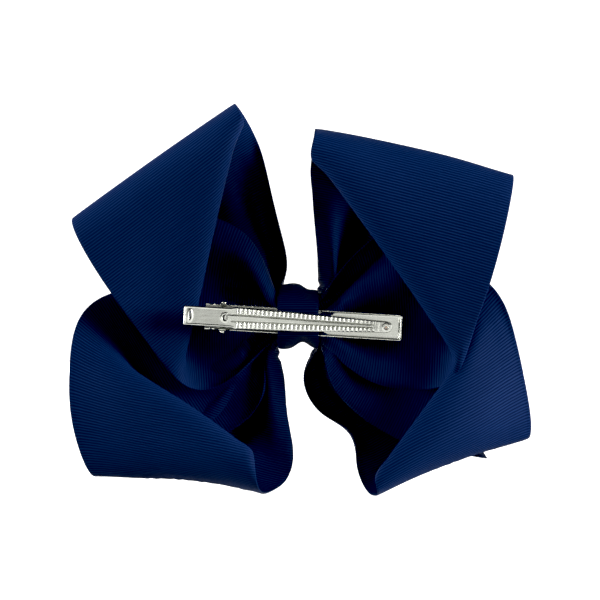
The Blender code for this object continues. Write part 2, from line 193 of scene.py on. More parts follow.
# ------------------------------------------------------------------ cloth: lay out, pleat, relax
def lay_out(stations, fold):
    """Material grid of a ribbon over the given rulings; returns grid, s of each row, s of the fold.
    The cut length lies between the shortest and the longest of the two edges and the middle line."""
    e = np.array([[s[0], s[1], tuple(s[2:]) + (0.0,) * (5 - len(s))]
                  for s in stations], float)
    e = spline(e, SPAN_ROWS)
    kf = fold * SPAN_ROWS if fold else len(e) - 1
    middle = 0.5 * (e[:, 0] + e[:, 1]) - np.stack([0 * e[:, 2, 0], e[:, 2, 0], e[:, 2, 1]], 1)
    run = [np.concatenate([[0], np.cumsum(np.linalg.norm(np.diff(p, axis=0), axis=1))])
           for p in (e[:, 0], middle, e[:, 1])]
    back = [c[kf] for c in run]
    front = [c[-1] - c[kf] for c in run]
    la = CUT_SHARE * max(back) + (1 - CUT_SHARE) * min(back)
    lb = CUT_SHARE * max(front) + (1 - CUT_SHARE) * min(front)
    s = []
    for c in (run[0], run[2]):
        part = c[:kf + 1] / c[kf] * la
        if fold:
            part = np.concatenate([part, la + (c[kf + 1:] - c[kf]) / (c[-1] - c[kf]) * lb])
        s.append(part)
    length = la + (lb if fold else 0)
    nt = int(round(RIBBON_W / STEP)) + 1
    rows = np.linspace(0, length, int(round(length / STEP)) + 1)
    grid = np.zeros((len(rows), nt, 3))
    for j in range(nt):
        t = j / (nt - 1)
        p = e[:, 0] * (1 - t) + e[:, 1] * t
        p[:, 1] -= e[:, 2, 0] * 4 * t * (1 - t)
        p[:, 2] -= e[:, 2, 1] * 4 * t * (1 - t) + e[:, 2, 2] * t * (1 - t ** 10)
        sj = s[0] * (1 - t) + s[1] * t
        for k in range(3):
            grid[:, j, k] = np.interp(rows, sj, p[:, k])
    return grid, rows, la


def fold_angle(ratio):
    """Angle of the sine folds that gather a width to the given share of itself."""
    x = np.linspace(0, 1, 401)
    ph = np.linspace(0, 2.4, 241)
    share = np.array([np.mean(np.cos(p * np.sin(2 * np.pi * x))) for p in ph])
    return float(np.interp(ratio, share[::-1], ph[::-1]))


def pleat(grid, width, waves, reach=None):
    """Give every row its full cloth width again, as folds across it; the selvages stay where they are.
    reach gives how far the gathers run from each end, as (full, gone) distances in mm."""
    ns, nt, _ = grid.shape
    out = grid.copy()
    du = np.gradient(grid, axis=0)
    t = np.linspace(0, 1, nt)
    fine = np.linspace(0, 1, (nt - 1) * 8 + 1)
    for i in range(ns):
        row = grid[i]
        cur = np.concatenate([[0], np.cumsum(np.linalg.norm(np.diff(row, axis=0), axis=1))])
        ratio = min(cur[-1] / width, 1)
        near = np.clip((GATHER_START - ratio) / GATHER_RANGE, 0, 1)
        if reach:
            full, gone = reach
            near *= np.clip((gone - min(i, ns - 1 - i) * STEP) / (gone - full), 0, 1)
        ratio = 1 - (1 - ratio) * near * near * (3 - 2 * near)
        if ratio > FLAT_ENOUGH:
            continue
        ph = fold_angle(ratio) * np.sin(2 * np.pi * waves * fine + math.pi / 2)
        u = np.concatenate([[0], np.cumsum((np.cos(ph[1:]) + np.cos(ph[:-1])) / 2)])
        u /= u[-1]
        v = np.concatenate([[0], np.cumsum((np.sin(ph[1:]) + np.sin(ph[:-1])) / 2)])
        v = v * width / (len(fine) - 1)
        v -= np.linspace(v[0], v[-1], len(v))
        cur /= cur[-1]
        uj, vj = np.interp(t, fine, u), np.interp(t, fine, v)
        base = np.stack([np.interp(uj, cur, row[:, k]) for k in range(3)], 1)
        nrm = np.cross(du[i].mean(0), np.gradient(row, axis=0).mean(0))
        out[i] = base + nrm / np.linalg.norm(nrm) * vj[:, None]
    return out


def relax(start, ds, dt, anchor, pinned, iters):
    """Let the cloth find its own shape: firm against stretch, softer in compression, and stiff
    against bending over short and longer strides, softly held near where it starts."""
    x, home = start.copy(), start.copy()
    ns, nt, _ = x.shape
    w = np.where(pinned, 0.0, 1.0)
    sl = slice
    al = sl(None)

    def dist(a, b, rest, k):
        wa, wb = w[a], w[b]
        d = x[b] - x[a]
        l = np.sqrt((d * d).sum(-1)) + 1e-12
        tot = wa + wb
        hold = np.where(l < rest, k * GIVE, k)
        c = np.where(tot > 0, hold * (l - rest) / (l * np.maximum(tot, 1e-9)), 0)[..., None] * d
        x[a] += c * wa[..., None]
        x[b] -= c * wb[..., None]

    pairs = []
    for o in (0, 1):
        n = (ns - o) // 2
        pairs.append(((sl(o, o + 2 * n - 1, 2), al), (sl(o + 1, o + 2 * n, 2), al), ds, 1.0))
    for o in (0, 1):
        n = (nt - o) // 2
        pairs.append(((al, sl(o, o + 2 * n - 1, 2)), (al, sl(o + 1, o + 2 * n, 2)), dt, 1.0))
    diag = math.hypot(ds, dt)
    for o in (0, 1):
        n = (ns - o) // 2
        lo, hi = sl(o, o + 2 * n - 1, 2), sl(o + 1, o + 2 * n, 2)
        pairs.append(((lo, sl(0, nt - 1)), (hi, sl(1, nt)), diag, SHEAR))
        pairs.append(((lo, sl(1, nt)), (hi, sl(0, nt - 1)), diag, SHEAR))
    for it in range(iters):
        for q, k in BENDING:
            for y, free in ((x, w), (x.swapaxes(0, 1), w.T)):
                d = y[q:-q] - 0.5 * (y[2 * q:] + y[:-2 * q])
                move = np.zeros_like(y)
                move[q:-q] -= d * (2 / 3)
                move[2 * q:] += d * (1 / 3)
                move[:-2 * q] += d * (1 / 3)
                y += move * free[..., None] * k * BEND_STEP
        x += (home - x) * (anchor * (1 - ANCHOR_FADE * it / iters))[..., None]
        for p in pairs:
            dist(*p)
    return x


def ribbon_object(name, grid, length, width, mat):
    """Woven ribbon over a relaxed grid, with its ribs and selvages as real relief on both faces."""
    ns, nt, _ = grid.shape
    ribs = int(length / RIB_PITCH)
    s = (np.arange(ribs)[:, None] + RIB_PHASE).ravel() * RIB_PITCH
    rise = np.tile(RIB_RELIEF, ribs)
    middle = np.linspace(4.0, width - 4.0, 33)
    t = np.array(EDGE_LINES + list(middle) + [width - e for e in reversed(EDGE_LINES)])
    mid = cubic(grid, s / length * (ns - 1))
    mid = cubic(mid.swapaxes(0, 1), t / width * (nt - 1)).swapaxes(0, 1)
    nrm = normals(mid)
    side = np.minimum(t, width - t)
    across = np.interp(side, EDGE_LINES, [0.2, 0.4, 0.35, 0.5, 1.0])
    body = np.interp(side, EDGE_LINES, [0.6, 1.0, 1.25, 1.1, 1.0])
    h = (RIBBON_HALF * body[None, :] + RIB_H * rise[:, None] * across[None, :])[..., None]
    verts, faces = shell(mid + nrm * h, mid - nrm * h)
    uv = np.stack(np.broadcast_arrays(s[:, None], t[None, :]), -1).reshape(-1, 2)
    verts = verts + np.array([0, BOW_DEPTH_0, 0])
    return new_object(name, verts, faces, mat, uv=np.concatenate([uv, uv]))


# ------------------------------------------------------------------ materials
def node_tree(name):
    mat = bpy.data.materials.new(name)
    mat.use_nodes = True
    nt = mat.node_tree
    return mat, nt, nt.nodes["Principled BSDF"]


def math_node(nt, op, a, b=None):
    n = nt.nodes.new("ShaderNodeMath")
    n.operation = op
    for k, v in enumerate((a, b)):
        if v is None:
            continue
        if isinstance(v, (int, float)):
            n.inputs[k].default_value = v
        else:
            nt.links.new(v, n.inputs[k])
    return n.outputs[0]


def ramp(nt, fac, stops):
    n = nt.nodes.new("ShaderNodeValToRGB")
    el = n.color_ramp.elements
    while len(el) < len(stops):
        el.new(0.5)
    for e, (pos, col) in zip(el, stops):
        e.position = pos
        e.color = (*col, 1)
    nt.links.new(fac, n.inputs[0])
    return n.outputs[0]


def noise(nt, vector, scale, detail=2.0):
    n = nt.nodes.new("ShaderNodeTexNoise")
    n.inputs["Scale"].default_value = scale
    n.inputs["Detail"].default_value = detail
    nt.links.new(vector, n.inputs["Vector"])
    return n.outputs["Fac"]


WARP_PITCH = 0.26          # one warp thread, mm


def grosgrain(name, pitch, groove, crest, crest_highlight):
    """Ribbed ribbon over real rib relief: grooves painted darker as painted shade, rib crests painted brighter
    as painted highlight, fine warp threads over every rib.
    """
    mat, nt, bsdf = node_tree(name)
    uv = nt.nodes.new("ShaderNodeUVMap")
    uv.uv_map = "weave"
    sep = nt.nodes.new("ShaderNodeSeparateXYZ")
    nt.links.new(uv.outputs[0], sep.inputs[0])
    s, t = sep.outputs[0], sep.outputs[1]
    turn = math_node(nt, "MULTIPLY", s, 2 * math.pi / (pitch * MM))
    rib = math_node(nt, "MULTIPLY_ADD", math_node(nt, "COSINE", turn), -0.5)
    rib.node.inputs[2].default_value = 0.5
    index = math_node(nt, "FLOOR", math_node(nt, "DIVIDE", s, pitch * MM))
    odd = math_node(nt, "MULTIPLY", math_node(nt, "MODULO", index, 2.0), math.pi)
    ends = math_node(nt, "MULTIPLY", t, 2 * math.pi / (WARP_PITCH * MM))
    warp = math_node(nt, "SINE", math_node(nt, "ADD", ends, odd))
    # stretched noise follows single weft yarns, wide noise is handling and dye
    comb = nt.nodes.new("ShaderNodeCombineXYZ")
    nt.links.new(math_node(nt, "MULTIPLY", index, 7.31), comb.inputs[0])
    nt.links.new(math_node(nt, "MULTIPLY", t, 60.0), comb.inputs[1])
    yarn = noise(nt, comb.outputs[0], 1.0)
    cloud = noise(nt, uv.outputs[0], 45.0, 3.0)
    level = math_node(nt, "MULTIPLY_ADD", yarn, 0.5)
    nt.links.new(math_node(nt, "MULTIPLY", cloud, 0.4), level.node.inputs[2])
    # colour follows the rib's phase: painted shade in the grooves, painted highlight on the crests
    shade = math_node(nt, "MULTIPLY", rib, math_node(nt, "ADD", level, 0.55))
    shade = math_node(nt, "ADD", shade, math_node(nt, "MULTIPLY", warp, 0.06))
    colour = ramp(nt, shade, [(0.0, groove), (0.55, crest), (1.0, crest_highlight)])
    nt.links.new(colour, bsdf.inputs["Base Color"])
    rough = math_node(nt, "MULTIPLY_ADD", rib, -0.16)
    nt.links.new(math_node(nt, "MULTIPLY_ADD", cloud, 0.12), rough.node.inputs[2])
    rough.node.inputs[2].links[0].from_node.inputs[2].default_value = 0.62
    nt.links.new(rough, bsdf.inputs["Roughness"])
    height = math_node(nt, "ADD", math_node(nt, "MULTIPLY", rib, 0.35), math_node(nt, "MULTIPLY", warp, 0.10))
    height = math_node(nt, "ADD", height, math_node(nt, "MULTIPLY", yarn, 0.3))
    bump = nt.nodes.new("ShaderNodeBump")
    bump.inputs["Strength"].default_value = 0.5
    bump.inputs["Distance"].default_value = 0.00012
    nt.links.new(height, bump.inputs["Height"])
    nt.links.new(bump.outputs[0], bsdf.inputs["Normal"])
    bsdf.inputs["Specular IOR Level"].default_value = 0.04
    bsdf.inputs["Sheen Weight"].default_value = 0.02
    bsdf.inputs["Sheen Roughness"].default_value = 0.4
    bsdf.inputs["Sheen Tint"].default_value = (0.35, 0.6, 1.0, 1)
    return mat


def metal(name, bright, dull, rough, grain):
    """Plated sheet: faint rolling grain, soft cloudy tarnish and fine scratches."""
    mat, nt, bsdf = node_tree(name)
    tc = nt.nodes.new("ShaderNodeTexCoord")
    mp = nt.nodes.new("ShaderNodeMapping")
    mp.inputs["Scale"].default_value = (90, 900, 1400)
    nt.links.new(tc.outputs["Object"], mp.inputs[0])
    streak = noise(nt, mp.outputs[0], 1.0, 3.0)
    cloud = noise(nt, tc.outputs["Object"], 160.0, 3.0)
    mix = math_node(nt, "MULTIPLY_ADD", streak, 0.4)
    nt.links.new(math_node(nt, "MULTIPLY", cloud, 0.6), mix.node.inputs[2])
    nt.links.new(ramp(nt, mix, [(0.25, dull), (0.75, bright)]), bsdf.inputs["Base Color"])
    r = math_node(nt, "MULTIPLY_ADD", mix, 0.16)
    r.node.inputs[2].default_value = rough - 0.08
    nt.links.new(r, bsdf.inputs["Roughness"])
    bump = nt.nodes.new("ShaderNodeBump")
    bump.inputs["Strength"].default_value = grain
    bump.inputs["Distance"].default_value = 0.00003
    nt.links.new(streak, bump.inputs["Height"])
    nt.links.new(bump.outputs[0], bsdf.inputs["Normal"])
    bsdf.inputs["Metallic"].default_value = 1.0
    return mat


def thread_material(name):
    mat, nt, bsdf = node_tree(name)
    tc = nt.nodes.new("ShaderNodeTexCoord")
    wave = nt.nodes.new("ShaderNodeTexWave")
    wave.bands_direction = "DIAGONAL"
    wave.inputs["Scale"].default_value = 900.0
    nt.links.new(tc.outputs["Object"], wave.inputs["Vector"])
    nt.links.new(ramp(nt, wave.outputs["Fac"], [(0.0, (0.001, 0.004, 0.02)), (1.0, (0.005, 0.02, 0.08))]),
                 bsdf.inputs["Base Color"])
    bump = nt.nodes.new("ShaderNodeBump")
    bump.inputs["Strength"].default_value = 0.6
    bump.inputs["Distance"].default_value = 0.00008
    nt.links.new(wave.outputs["Fac"], bump.inputs["Height"])
    nt.links.new(bump.outputs[0], bsdf.inputs["Normal"])
    bsdf.inputs["Roughness"].default_value = 0.6
    return mat


# groove, crest and crest highlight colours, set together with the black level at the end of this script; the
# darker grooves are painted shade, the brighter crests painted highlight
navy = grosgrain("navy_grosgrain_woven", RIB_PITCH,
                 (0.0050, 0.0140, 0.066), (0.0110, 0.0320, 0.124), (0.0160, 0.0460, 0.163))
# the wrap's copy of the grosgrain is about half as bright as the ribbon's: painted shade on the knot wrap
navy_wrap_shaded = grosgrain("navy_wrap_woven", WRAP_RIB_PITCH,
                      (0.0030, 0.0085, 0.036), (0.0065, 0.0180, 0.066), (0.0100, 0.0270, 0.090))
thread_mat = thread_material("navy_thread_twist")
nickel = metal("nickel_plated_sheet", (0.56, 0.57, 0.52), (0.42, 0.43, 0.385), 0.24, 0.25)
steel = metal("spring_steel_wire", (0.62, 0.62, 0.61), (0.45, 0.45, 0.44), 0.32, 0.35)
copper = metal("spot_weld_copper", (0.60, 0.36, 0.24), (0.42, 0.24, 0.16), 0.35, 0.3)

# ------------------------------------------------------------------ ribbon rulings, mm, bow's own frame
# each ruling: inner edge, outer edge, then if given the crown towards the clip side, the sag and
# the droop below an upturned outer selvage; each point is x, depth, z
upper_right = [
    ((0.4, 2.8, 4.8), (0.4, 2.8, -3.8)),
    ((8.0, 2.5, 7.0), (8.0, 2.5, -6.0)),
    ((15.0, 2.0, 17.0), (15.5, 2.8, -12.0)),
    ((28.0, 1.0, 30.0), (29.0, 2.5, -22.0)),
    ((46.0, -1.0, 42.0), (44.0, 0.5, -24.2)),
    ((58.0, -4.0, 48.0), (52.0, -2.5, -24.0)),
    ((62.5, -8.5, 51.5), (56.0, -6.0, -21.5)),
    ((57.0, -13.0, 54.0), (58.0, -8.0, -18.0)),
    ((35.0, -15.0, 57.0), (59.0, -9.5, -16.0)),
    ((7.5, -16.0, 58.0), (59.8, -11.0, -14.5)),
    ((4.8, -18.5, 59.0), (61.0, -12.5, -12.0)),
    ((5.0, -21.0, 62.0), (65.0, -16.0, -2.0)),
    ((5.4, -22.0, 65.0), (70.4, -19.0, 12.0)),
    ((5.9, -20.0, 68.5), (76.8, -19.5, 38.0)),
    ((6.3, -12.0, 70.9), (79.9, -11.0, 54.6), 0.0, -1.3),
    ((6.0, -3.0, 69.5), (78.8, -2.0, 53.0)),
    ((6.2, 9.0, 58.5), (70.0, 10.0, 42.0)),
    ((7.2, 15.5, 43.0), (54.0, 17.0, 29.0)),
    ((8.6, 16.5, 28.0), (36.0, 18.0, 17.0)),
    ((7.6, 14.5, 16.0), (18.0, 14.0, 8.0)),
    ((7.8, 9.6, 10.4), (8.2, 9.6, 3.0)),
    ((0.4, 9.4, 6.4), (0.4, 9.4, 2.0)),
]
lower_right = [
    ((0.4, 5.6, -5.6), (0.4, 5.6, 4.8)),
    ((8.0, 5.6, -7.0), (8.0, 5.6, 5.0)),
    ((12.5, 6.2, -20.0), (22.0, 7.6, 14.0)),
    ((18.5, 7.0, -29.5), (38.0, 8.6, 22.0)),
    ((32.0, 6.0, -40.0), (52.0, 8.0, 24.0)),
    ((45.0, 2.0, -47.0), (62.0, 5.5, 21.0)),
    ((51.0, -3.0, -51.0), (68.0, 3.0, 17.0)),
    ((47.0, -7.5, -53.5), (73.0, 1.0, 14.0)),
    ((38.0, -9.5, -54.0), (76.2, 0.0, 9.0)),
    ((30.9, -10.5, -53.8), (78.2, -1.0, 3.2)),
    ((30.2, -13.0, -55.0), (79.0, -1.0, -3.5), 2.0),
    ((30.6, -14.5, -57.5), (81.6, -1.0, -13.0), 4.0),
    ((31.2, -13.5, -60.5), (83.9, 0.0, -23.0), 5.0),
    ((31.0, -10.0, -62.6), (86.0, 2.0, -35.5), 4.0),
    ((29.4, -3.0, -63.9), (86.4, 7.0, -46.0), 1.5, -2.4),
    ((27.6, 5.0, -63.4), (82.0, 14.0, -41.0), 0.0, -2.5),
    ((23.2, 11.0, -53.6), (72.0, 18.0, -34.0)),
    ((21.6, 13.0, -41.6), (56.0, 20.0, -24.0)),
    ((8.6, 14.5, -33.2), (38.0, 19.0, -14.0)),
    ((3.4, 14.0, -19.4), (20.0, 15.0, -6.0)),
    ((8.2, 9.6, -7.8), (8.2, 9.6, -1.0)),
    ((0.4, 9.4, -5.2), (0.4, 9.4, -1.0)),
]
upper_left = [
    ((-0.4, 2.8, 4.8), (-0.4, 2.8, -3.8)),
    ((-8.4, 2.5, 8.0), (-8.4, 2.5, -5.6)),
    ((-12.5, 1.5, 20.5), (-17.5, 2.5, -13.0)),
    ((-20.0, 0.0, 33.0), (-26.0, 3.0, -21.0)),
    ((-33.0, -0.6, 38.5), (-33.0, 4.0, -24.6)),
    ((-48.0, -1.6, 43.0), (-37.0, 4.2, -24.8)),
    ((-57.0, -6.0, 49.0), (-39.5, 3.4, -24.0), -0.8),
    ((-55.0, -11.5, 55.0), (-40.8, 1.8, -23.2), -1.2),
    ((-38.0, -15.0, 63.0), (-41.6, -0.4, -22.6), -0.9),
    ((-21.5, -16.0, 70.0), (-42.4, -2.4, -22.0), -0.9),
    ((-19.4, -17.6, 71.5), (-45.5, -2.9, -19.6), -1.6),
    ((-20.5, -20.0, 74.5), (-54.0, -6.6, -10.7), -2.0),
    ((-21.5, -21.0, 76.5), (-69.6, -15.6, 11.1), -0.4),
    ((-22.6, -19.0, 78.8), (-81.6, -17.8, 31.8)),
    ((-23.4, -11.0, 80.4), (-83.0, -11.0, 38.5), 0.0, -0.5),
    ((-21.7, -2.0, 78.8), (-82.0, -1.0, 36.5)),
    ((-17.8, 9.0, 71.4), (-72.0, 9.0, 31.0)),
    ((-12.8, 15.0, 55.0), (-55.0, 17.0, 23.0)),
    ((-9.0, 16.5, 37.0), (-36.0, 18.0, 15.0)),
    ((-4.8, 15.5, 18.0), (-18.0, 14.0, 9.0)),
    ((-7.8, 9.6, 11.0), (-8.6, 9.6, 3.0)),
    ((-0.4, 9.4, 6.4), (-0.4, 9.4, 2.0)),
]
lower_left = [
    ((-0.4, 5.6, -5.6), (-0.4, 5.6, 4.8)),
    ((-8.4, 5.8, -7.4), (-8.4, 5.8, 5.0)),
    ((-12.7, 6.8, -15.0), (-20.0, 8.6, 12.5)),
    ((-15.0, 8.0, -28.0), (-35.0, 11.0, 16.0)),
    ((-20.0, 9.0, -36.0), (-51.0, 12.5, 15.5)),
    ((-31.0, 10.0, -43.0), (-62.0, 12.0, 12.5)),
    ((-40.0, 7.0, -47.5), (-69.5, 8.5, 10.0)),
    ((-41.0, 1.0, -50.0), (-74.8, 3.0, 9.6), 0.0, 0.0, 6.0),
    ((-32.0, -6.5, -50.0), (-79.0, -2.0, 8.2), 0.0, 0.0, 10.0),
    ((-19.3, -12.0, -46.5), (-82.6, -6.5, 3.8), 0.5, 0.0, 10.5),
    ((-18.6, -14.5, -47.5), (-83.6, -9.0, -4.5), 0.5, 0.0, 7.5),
    ((-18.0, -15.5, -51.0), (-83.9, -10.5, -19.0), 0.0, 0.0, 2.5),
    ((-17.0, -14.5, -56.0), (-83.9, -10.0, -33.0)),
    ((-15.6, -11.0, -60.8), (-80.6, -8.0, -45.0)),
    ((-13.8, -4.0, -63.0), (-75.2, -2.0, -59.4), 0.0, -2.7),
    ((-12.0, 5.0, -63.0), (-73.0, 7.0, -54.0), 0.0, -2.5),
    ((-5.6, 12.0, -59.0), (-66.0, 14.0, -44.0)),
    ((-3.2, 15.0, -48.0), (-50.0, 18.0, -30.0)),
    ((-5.8, 15.5, -35.0), (-33.0, 18.5, -18.0)),
    ((-6.0, 14.0, -18.0), (-18.0, 14.5, -8.0)),
    ((-7.6, 9.6, -9.4), (-8.6, 9.6, -1.0)),
    ((-0.4, 9.4, -5.2), (-0.4, 9.4, -1.0)),
]
right_tail = [
    ((0.4, 11.4, -2.6), (0.4, 11.4, 2.2)),
    ((8.4, 12.6, -4.6), (8.4, 12.6, 2.6)),
    ((11.0, 21.0, -14.0), (22.0, 21.0, -4.0)),
    ((13.0, 27.0, -23.0), (40.0, 27.0, -14.0)),
    ((17.0, 28.0, -33.0), (57.0, 27.0, -29.0)),
    ((24.5, 27.0, -45.5), (72.8, 24.5, -53.0)),
]
left_tail = [tuple((-x, y, z) for x, y, z in s) for s in right_tail]

iterations = 400
for name, stations in (("upper_right", upper_right), ("lower_right", lower_right),
                       ("upper_left", upper_left), ("lower_left", lower_left)):
    grid, rows, s_fold = lay_out(stations, FOLD_STATION)
    length = rows[-1]
    grid = pleat(grid, RIBBON_W, LOOP_WAVES, reach=GATHER_REACH)
    ns, nt, _ = grid.shape
    pinned = np.zeros((ns, nt), bool)
    pinned[:3] = pinned[-3:] = True
    anchor = np.full((ns, nt), HOLD_MIDDLE)
    anchor[:, 0] = anchor[:, -1] = HOLD_EDGE
    anchor[np.abs(rows - s_fold) < FOLD_HALF] = HOLD_FOLD
    grid = relax(grid, rows[1], RIBBON_W / (nt - 1), anchor, pinned, iterations)
    loop = ribbon_object(name + "_ribbon_loop", grid, length, RIBBON_W, navy)
    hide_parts(name + "_loop")
    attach(loop, "bow")

# the tails are laid and pleated only; their slant ends follow the last ruling
for name, stations in (("right_tail", right_tail), ("left_tail", left_tail)):
    grid, rows, _ = lay_out(stations, 0)
    grid = pleat(grid, RIBBON_W, TAIL_WAVES)
    tail = ribbon_object(name + "_ribbon", grid, rows[-1], RIBBON_W, navy)
    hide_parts(name)
    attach(tail, "bow")

# ------------------------------------------------------------------ knot wrap
# depth and height of the wrap's outer face, once round the knot
outline = np.array([(-8.4, 4.6), (-8.2, 5.6), (-5.5, 9.0), (0.0, 12.6), (5.0, 13.9), (10.0, 12.4),
                    (14.0, 8.0), (15.2, 1.5), (14.2, -4.5), (10.0, -8.8), (4.0, -10.2), (-2.0, -9.2),
                    (-6.0, -7.2), (-8.2, -5.4), (-8.4, -4.4), (-8.4, 0.0), (-8.4, 4.6)])
ring = spline(np.hstack([outline, np.zeros((len(outline), 1))]), 12)[:-1, :2]
steps = np.linalg.norm(np.diff(np.vstack([ring, ring[:1]]), axis=0), axis=1)
around = np.concatenate([[0], np.cumsum(steps)])
wrap_len = around[-1]
ribs = int(round(wrap_len / WRAP_RIB_PITCH))
u = (np.arange(ribs)[:, None] + RIB_PHASE).ravel() / ribs * wrap_len
yz = np.stack([np.interp(u, around, np.append(ring[:, k], ring[0, k])) for k in (0, 1)], 1)
for _ in range(3):
    yz = (np.roll(yz, 1, 0) + 2 * yz + np.roll(yz, -1, 0)) / 4
tan = np.roll(yz, -1, 0) - np.roll(yz, 1, 0)
out = np.stack([-tan[:, 1], tan[:, 0]], 1)
out /= np.linalg.norm(out, axis=1, keepdims=True)
if np.sum((yz - yz.mean(0)) * out) < 0:
    out = -out
xs = np.concatenate([[-1.0, -0.985, -0.95], np.linspace(-0.9, 0.9, 19), [0.95, 0.985, 1.0]]) * WRAP_W / 2
rise = np.tile(RIB_RELIEF, ribs)
top_share = np.clip((yz[:, 1] - 7.0) / 5.0, 0, 1)
low_share = np.clip((-yz[:, 1] - 5.0) / 4.0, 0, 1)
outer, inner = [], []
for x in xs:
    crease = (0.5 * top_share * math.exp(-((x + 1.9) / 2.6) ** 2)
              - 1.9 * top_share * smooth_step(x, 0.0, 4.5))
    pinch = -2.7 * low_share * math.exp(-((x - 1.7) / 3.2) ** 2)
    body = np.interp(abs(x), [5.8, 7.0, 7.6], [0.0, -0.15, -0.45])
    r = crease + pinch + body
    edge = np.interp(abs(x), [6.4, 7.1, 7.6], [1.0, 0.4, 0.2])
    p = yz + out * (r + 0.13 * rise * edge)[:, None]
    q = yz + out * (r - 0.5)[:, None]
    outer.append(np.column_stack([np.full(len(p), x), p]))
    inner.append(np.column_stack([np.full(len(q), x), q]))
outer, inner = np.array(outer).swapaxes(0, 1), np.array(inner).swapaxes(0, 1)
n, w = outer.shape[:2]
verts = np.concatenate([outer.reshape(-1, 3), inner.reshape(-1, 3)]) + np.array([0, BOW_DEPTH_0, 0])
faces = []
for i in range(n):
    k = (i + 1) % n
    for j in range(w - 1):
        faces.append((i * w + j, k * w + j, k * w + j + 1, i * w + j + 1))
        faces.append((n * w + i * w + j + 1, n * w + k * w + j + 1, n * w + k * w + j, n * w + i * w + j))
    faces.append((i * w, n * w + i * w, n * w + k * w, k * w))
    faces.append((k * w + w - 1, n * w + k * w + w - 1, n * w + i * w + w - 1, i * w + w - 1))
uv = np.stack(np.broadcast_arrays(u[:, None], (xs + WRAP_W / 2)[None, :]), -1).reshape(-1, 2)
wrap = new_object("knot_wrap", verts, faces, navy_wrap_shaded, uv=np.concatenate([uv, uv]))
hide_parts("centre_wrap")
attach(wrap, "bow")

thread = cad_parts["gather_thread"]
thread.data.materials.clear()
thread.data.materials.append(thread_mat)

# ------------------------------------------------------------------ clip, local frame at the hinge
# the arms have no hinge holes here: the pin passes through the sheet of both
HINGE = (-27.75, -9.0 + BOW_DEPTH_0, 1.78)
TILT = math.radians(3.5)
SHEET = 0.5


def clip_to_row(p):
    p = np.asarray(p, float)
    c, s = math.cos(TILT), math.sin(TILT)
    return np.stack([p[..., 0] * c + p[..., 2] * s + HINGE[0], p[..., 1] + HINGE[1],
                     -p[..., 0] * s + p[..., 2] * c + HINGE[2]], -1)


LEVER_BACK, LEVER_NOSE = -14.1, 62.9       # ends of the lever along the clip, mm
SLOT_X, WINDOW_X, RING_X = -11.9, 1.0, 60.6
TOOTH_START, TOOTH_PITCH, TOOTH_H = 4.4, 3.1, 0.5
LEVER_LINE = [(-14.1, -8.0), (-8.0, -6.3), (-1.0, -4.6), (4.0, -4.0), (15.0, -3.7), (30.0, -2.6),
              (45.0, -0.3), (56.0, 2.2), (60.0, 3.0), (62.9, 3.2)]
LEVER_HALF = [(-14.1, 3.45), (-13.8, 3.58), (3.0, 3.6), (4.8, 4.05), (27.0, 3.45), (56.0, 2.2), (60.4, 2.15),
              (61.4, 1.95), (62.3, 1.45), (62.7, 0.95), (62.9, 0.4)]
CHEEK = [(-14.1, 0.9), (-5.0, 1.2), (-2.2, 2.2), (-1.4, 5.9), (1.4, 5.6), (2.2, 2.2), (6.0, 1.4),
         (30.0, 1.2), (56.0, 1.1), (62.9, 0.9)]
line = spline(np.array(LEVER_LINE), 8)
RIDGE_P, RIDGE_X0, RIDGE_X1 = 1.6, 5.2, 56.2


def at(table, x):
    xs_, ys_ = zip(*table)
    return np.interp(x, xs_, ys_)


def lever_relief(x, v, hw):
    """Height of the pressed detail on the lever's outer face."""
    h = 0.0
    # rolled rim round the thumb plate
    if x < 4.6:
        edge = min(hw - abs(v), x - LEVER_BACK)
        h += 0.16 * math.exp(-((edge - 0.35) / 0.22) ** 2) * (1 - smooth_step(x, 3.4, 4.6))
    # oval bead round the slot
    q = math.hypot((x - SLOT_X) / 0.85, v / 1.95)
    h += 0.22 * math.exp(-((q - 0.9) / 0.28) ** 2)
    # bead round the spring window
    q = math.hypot(x - WINDOW_X, v)
    if x < 1.6:
        h += 0.24 * math.exp(-((q - 1.45) / 0.25) ** 2)
    # middle bar
    bar = float(np.interp(x, [1.5, 10, 56], [1.0, 0.95, 0.32]))
    on = smooth_step(x, 1.2, 2.0) * (1 - smooth_step(x, 54.6, 55.4))
    h += 0.38 * on * (1 - smooth_step(abs(v), bar - 0.12, bar + 0.08))
    groove = (math.exp(-((abs(v) - bar - 0.25) / 0.14) ** 2)
              * smooth_step(x, 3.0, 4.2) * (1 - smooth_step(x, 55, 56)))
    # cross ridges either side of it
    if RIDGE_X0 < x < RIDGE_X1:
        k = (x - RIDGE_X0) / RIDGE_P
        wave = max(0.0, math.sin(math.pi * (k % 1.0))) ** 0.8
        span = (smooth_step(abs(v), bar + 0.25, bar + 0.50)
                * (1 - smooth_step(abs(v), hw - 0.45, hw - 0.2)))
        h += 0.42 * wave * span
    h -= 0.30 * groove
    # fold line before the nose, and the pressed ring on the nose
    h += 0.14 * math.exp(-((x - 57.6) / 0.25) ** 2) * (1 - smooth_step(abs(v), hw - 0.5, hw - 0.2))
    q = math.hypot(x - RING_X, v)
    h += 0.26 * math.exp(-((q - 1.15) / 0.24) ** 2) - 0.22 * (1 - smooth_step(q, 0.7, 1.0))
    return h


